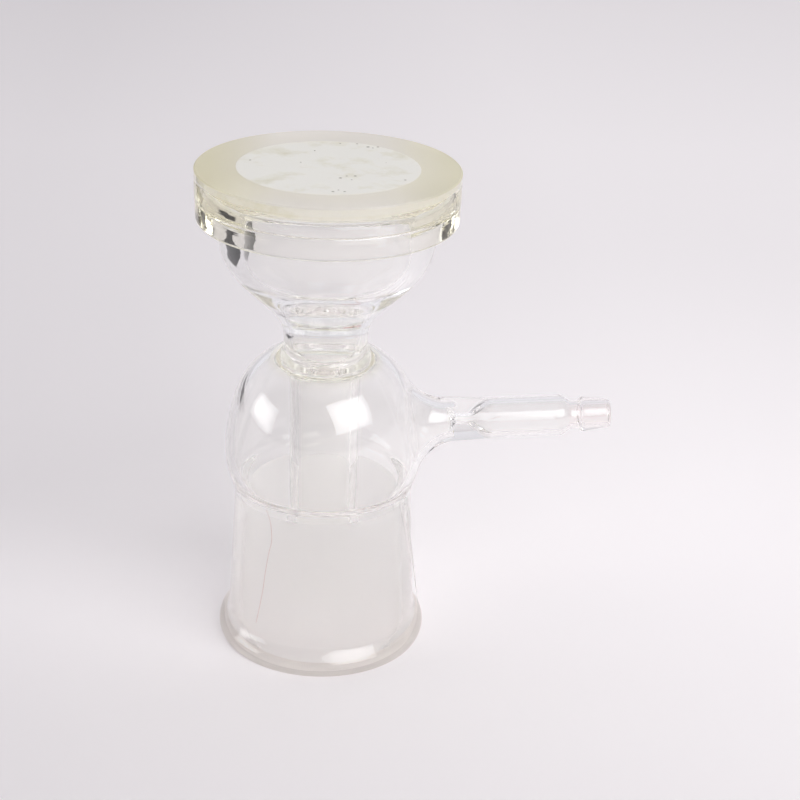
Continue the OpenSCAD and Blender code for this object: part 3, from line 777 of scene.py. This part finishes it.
def buildHair(h, g):
    # a three-sided thread along the way, with its bends rounded
    way = np.array(h["way"])
    t = np.linspace(0, 1, h["points"])
    along = np.linspace(0, 1, len(way))
    turn, height = np.radians(np.interp(t, along, way[:, 0])), np.interp(t, along, way[:, 1])
    for _ in range(h["easing"]):
        turn[1:-1] = (turn[:-2] + 2 * turn[1:-1] + turn[2:]) / 4
        height[1:-1] = (height[:-2] + 2 * height[1:-1] + height[2:]) / 4
    wall = g["mouthRadius"] + g["socketWall"] + (g["leadIn"] - height) * g["taper"] + h["proud"]
    vertices, faces = [], []
    for turned, z, r in zip(turn, height, wall):
        out = np.array([math.sin(turned), -math.cos(turned), 0])
        side = np.array([math.cos(turned), math.sin(turned), 0])
        for around in np.radians((0, 120, 240)):
            push = h["radius"] * (math.cos(around) * out + math.sin(around) * side)
            vertices.append(out * r + push + (0, 0, z))
    for low in range(0, 3 * len(t) - 3, 3):
        faces += [(low + j, low + (j + 1) % 3, low + 3 + (j + 1) % 3, low + 3 + j) for j in range(3)]
    # a dyed cotton fibre: matt
    material, tree = newMaterial("rosyFibre")
    surface = addNode(tree, "BsdfPrincipled", {
        "Base Color": linearColour(h["colour"]), "Roughness": h["roughness"]})
    addNode(tree, "OutputMaterial", None, {"Surface": (surface, 0)})
    return newObject("strayFibre", np.array(vertices) * mm, faces, [material])


glass = borosilicate
olive = glass["flangeDepth"]
films = glass["throatLines"] + [glass["barbFilm"], glass["sealDepth"]]
blown = flameWorkedBorosilicate("blownBorosilicate", glass, glass["blown"], films)
pressed = flameWorkedBorosilicate("pressedBorosilicate", glass, glass["pressed"], olive, True)
lapped = groundBorosilicate("lappedFlangeFace", glass, ground, ground["face"], olive)
taper = groundBorosilicate("groundTaper", glass, ground, ground["taper"])
mouth = groundBorosilicate("groundMouth", glass, ground, ground["mouth"])
print("glass materials made")
body = buildGlassBody(glassBody, sideArm, [blown, lapped, taper, pressed, mouth])
body.data.set_sharp_from_angle(angle=math.radians(glassBody["sharpFrom"]))
print("glass body:", len(body.data.polygons), "faces")
hair = buildHair(strayFibre, glassBody)
disc = buildFritDisc(fritDisc, sinteredBorosilicate(fritDisc))
disc.data.set_sharp_from_angle(angle=math.radians(fritDisc["sharpFrom"]))
for piece, node, slot in ((body, "glass_body", "borosilicate_glass"),
                          (disc, "frit_disc", "sintered_glass")):
    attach(piece, "root")
    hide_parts(node)
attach(hair, "root")
print("pieces placed")

# table, room and lights; in metres and degrees from here on
studio = dict(
    tableSize=6.0, low=-0.00004, table="#F5F1F2", paperMm=2.0, paperDepth=0.05,
    # painted light on the table: a glow that grows to the right and toward the back, a painted pool of
    # light beside the arm, and painted shade toward the front
    glowLeft=0.05, glowRight=0.155, glowSpan=0.12, glowBack=0.085, backFrom=0.10, backTo=0.42,
    frontFade=-0.07, frontFrom=0.03, frontTo=-0.08,
    poolGlow=0.085, poolAt=(0.11, 0.06), poolRadius=0.25,
    card="#1C1C1C", cardX=(-0.42, -0.19), cardY=(0.235, 0.50), cardZ=0.001,
    # each part of the room: the axis that it follows, where it starts, where it is full, how bright
    wall=(1, -0.05, 0.4, 0.86), ceiling=(2, 0.8, 0.93, 0.60), lowBand=(2, 0.32, 0.18, 0.30),
    dark=0.02, air="#F4F2F8",
    # painted highlight: a sheet before each lamp that glows only in mirror reflections; its gap from the
    # lamp, where it starts to fade toward the rim, and each lamp's strength of it
    aim=0.06, paintedHighlightGap=0.01, paintedHighlightEdge=0.4,
    key=dict(azimuth=36, elevation=34, distance=1.25, size=(1.13, 1.02), power=10.7, paintedHighlight=3.6),
    side=dict(azimuth=-88, elevation=13, distance=1.4, size=(0.92, 0.62), power=4.4, paintedHighlight=3.0),
)


def flatSheet(name, across, deep, z, material):
    # one level rectangle: its range in x, its range in y, its height
    (left, right), (near, far) = across, deep
    corners = [(left, near, z), (right, near, z), (right, far, z), (left, far, z)]
    return newObject(name, corners, [(0, 1, 2, 3)], [material])


def softbox(name, s, shared):
    # azimuth from the front, toward the side arm; the box faces the object
    a, e = math.radians(s["azimuth"]), math.radians(s["elevation"])
    direction = Vector((math.sin(a) * math.cos(e), -math.cos(a) * math.cos(e), math.sin(e)))
    data = bpy.data.lights.new(name, "AREA")
    data.shape = "RECTANGLE"
    data.size, data.size_y = s["size"]
    data.energy = s["power"]
    lamp = bpy.data.objects.new(name, data)
    lamp.location = Vector((0, 0, shared["aim"])) + direction * s["distance"]
    lamp.rotation_euler = direction.to_track_quat("Z", "Y").to_euler()
    lamp.matrix_world = Matrix.Translation(lamp.location) @ lamp.rotation_euler.to_matrix().to_4x4()
    bpy.context.scene.collection.objects.link(lamp)

    # painted highlight: a sheet just before the lamp that glows only for rays mirrored in polished
    # glass, so the box looks brighter there than the lamp alone makes it
    material, tree = newMaterial(name + "Cloth")
    path = addNode(tree, "LightPath")
    level = (path, "Is Glossy Ray")
    for unwanted in ("Diffuse Depth", "Is Transmission Ray"):
        without = addNode(tree, "Math", {"operation": "LESS_THAN", 1: 0.5}, {0: (path, unwanted)})
        level = (addNode(tree, "Math", {"operation": "MULTIPLY"}, {0: level, 1: (without, 0)}), 0)
    place = (addNode(tree, "TexCoord"), "Object")
    at = addNode(tree, "SeparateXYZ", None, {0: place})
    half = [side / 2 for side in s["size"]]
    for axis in (0, 1):
        # fades toward the rim of the box
        away = addNode(tree, "Math", {"operation": "ABSOLUTE"}, {0: (at, axis)})
        fade = addNode(tree, "MapRange", {
            "interpolation_type": "SMOOTHSTEP", "From Min": half[axis],
            "From Max": half[axis] * shared["paintedHighlightEdge"]}, {"Value": (away, 0)})
        level = (addNode(tree, "Math", {"operation": "MULTIPLY"}, {0: level, 1: (fade, 0)}), 0)
    strength = addNode(tree, "Math", {"operation": "MULTIPLY", 1: s["paintedHighlight"]}, {0: level})
    glow = addNode(tree, "Emission", None, {"Strength": (strength, 0)})
    clear = addNode(tree, "BsdfTransparent")
    both = addNode(tree, "AddShader", None, {0: (glow, 0), 1: (clear, 0)})
    addNode(tree, "OutputMaterial", None, {"Surface": (both, 0)})
    (x, y), gap = half, shared["paintedHighlightGap"]
    paintedHighlight = flatSheet(name + "Cloth", (-x, x), (-y, y), -gap, material)
    paintedHighlight.matrix_world = lamp.matrix_world
    paintedHighlight.visible_camera = paintedHighlight.visible_diffuse = paintedHighlight.visible_shadow = False


def buildTable(s):
    # matt white paper, uncoated; its fibres are drawn coarser than they are
    material, tree = newMaterial("tablePaper")
    place = (addNode(tree, "TexCoord"), "Object")
    fibre = addNode(tree, "TexNoise", {"Scale": perMetre(s["paperMm"]), "Detail": 3.0},
                    {"Vector": place})
    bump = addNode(tree, "Bump", {"Strength": 0.05, "Distance": s["paperDepth"] * mm},
                   {"Height": (fibre, 0)})
    surface = addNode(tree, "BsdfPrincipled", {
        "Base Color": linearColour(s["table"]), "Roughness": 0.8, "Specular IOR Level": 0.2},
        {"Normal": (bump, 0)})
    # painted light: the paper glows for the eye, mirrored and seen through glass as well; the glow grows
    # to the right and toward the back, has a painted pool of light beside the arm, and fades to painted
    # shade toward the front
    at = addNode(tree, "SeparateXYZ", None, {0: place})
    across = addNode(tree, "MapRange", {
        "From Min": -s["glowSpan"], "From Max": s["glowSpan"], "To Min": s["glowLeft"],
        "To Max": s["glowRight"]}, {"Value": (at, 0)})
    away = addNode(tree, "VectorMath", {"operation": "DISTANCE", 1: (*s["poolAt"], 0)}, {0: place})
    pool = addNode(tree, "MapRange", {
        "interpolation_type": "SMOOTHSTEP", "From Min": 0.0, "From Max": s["poolRadius"],
        "To Min": s["poolGlow"], "To Max": 0.0}, {"Value": (away, "Value")})
    back = addNode(tree, "MapRange", {
        "From Min": s["backFrom"], "From Max": s["backTo"], "To Max": s["glowBack"]},
        {"Value": (at, 1)})
    front = addNode(tree, "MapRange", {
        "From Min": s["frontFrom"], "From Max": s["frontTo"], "To Max": s["frontFade"]},
        {"Value": (at, 1)})
    pale = across
    for part in (back, front, pool):
        pale = addNode(tree, "Math", {"operation": "ADD"}, {0: (pale, 0), 1: (part, 0)})
    path = addNode(tree, "LightPath")
    watched = (path, "Is Camera Ray")
    for ray in ("Is Glossy Ray", "Is Transmission Ray"):
        watched = (addNode(tree, "Math", {"operation": "MAXIMUM"}, {0: watched, 1: (path, ray)}), 0)
    strength = addNode(tree, "Math", {"operation": "MULTIPLY"}, {0: (pale, 0), 1: watched})
    glow = addNode(tree, "Emission", {"Color": linearColour(s["table"])}, {"Strength": (strength, 0)})
    both = addNode(tree, "AddShader", None, {0: (surface, 0), 1: (glow, 0)})
    addNode(tree, "OutputMaterial", None, {"Surface": (both, 0)})
    # a hair lower than the object's base, so that the two faces don't coincide
    half = s["tableSize"] / 2
    flatSheet("table", (-half, half), (-half, half), s["low"], material)


def buildCard(s):
    # a black card on the table, behind and to the left: polished glass draws it out into dark lines
    material, tree = newMaterial("blackCard")
    surface = addNode(tree, "BsdfPrincipled", {"Base Color": linearColour(s["card"]), "Roughness": 0.9})
    addNode(tree, "OutputMaterial", None, {"Surface": (surface, 0)})
    flatSheet("blackCard", s["cardX"], s["cardY"], s["cardZ"], material)


def buildRoom(s):
    # a pale wall behind the object and a pale ceiling; in front only a dim band at table height
    world = bpy.data.worlds.new("room")
    bpy.context.scene.world = world
    world.use_nodes = True
    tree = world.node_tree
    tree.nodes.clear()
    place = (addNode(tree, "TexCoord"), "Generated")
    toward = addNode(tree, "SeparateXYZ", None, {0: place})
    brighter = None
    for axis, start, full, strength in (s["wall"], s["ceiling"], s["lowBand"]):
        part = addNode(tree, "MapRange", {
            "interpolation_type": "SMOOTHSTEP", "From Min": start, "From Max": full, "To Max": strength},
            {"Value": (toward, axis)})
        brighter = part if brighter is None else addNode(
            tree, "Math", {"operation": "MAXIMUM"}, {0: (brighter, 0), 1: (part, 0)})
    level = addNode(tree, "Math", {"operation": "ADD", 1: s["dark"]}, {0: (brighter, 0)})
    light = addNode(tree, "Background", {"Color": linearColour(s["air"])}, {"Strength": (level, 0)})
    addNode(tree, "OutputWorld", None, {"Surface": (light, 0)})


buildTable(studio)
buildCard(studio)
buildRoom(studio)
for name in ("key", "side"):
    softbox(name, studio[name], studio)
print("studio built")

# lens and target in mm
camera = dict(lens=74.376, sensor=36.0, downDeg=24.70, turnDeg=-5.0, rollDeg=2.18, distance=0.387,
              target=(17.553, -1.536, 61.25))


def aimCamera(c):
    down, turn, roll = (math.radians(c[k]) for k in ("downDeg", "turnDeg", "rollDeg"))
    forward = Vector((0, math.cos(down), -math.sin(down)))
    right, up = Vector((1, 0, 0)), Vector((0, math.sin(down), math.cos(down)))
    right, up = (right * math.cos(roll) + up * math.sin(roll),
                 up * math.cos(roll) - right * math.sin(roll))
    spin = Matrix.Rotation(turn, 3, "Z")
    forward, right, up = spin @ forward, spin @ right, spin @ up
    data = bpy.data.cameras.new("view")
    data.lens, data.sensor_width = c["lens"], c["sensor"]
    data.clip_start, data.clip_end = 0.01, 20.0
    obj = bpy.data.objects.new("view", data)
    place = Vector(c["target"]) * mm - forward * c["distance"]
    rotation = Matrix((right, up, -forward)).transposed().to_4x4()
    obj.matrix_world = Matrix.Translation(place) @ rotation
    bpy.context.scene.collection.objects.link(obj)
    bpy.context.scene.camera = obj


aimCamera(camera)
print("camera aimed")
bpy.context.scene.view_settings.view_transform = "Standard"
# light runs far inside the thick rings and walls, mirrored dozens of times before it leaves
cycles = bpy.context.scene.cycles
cycles.max_bounces, cycles.transmission_bounces, cycles.glossy_bounces = 120, 120, 100
cycles.diffuse_bounces = 8
cycles.blur_glossy = 0  # polished glass stays clear for light that ground glass has scattered
bpy.context.view_layer.update()
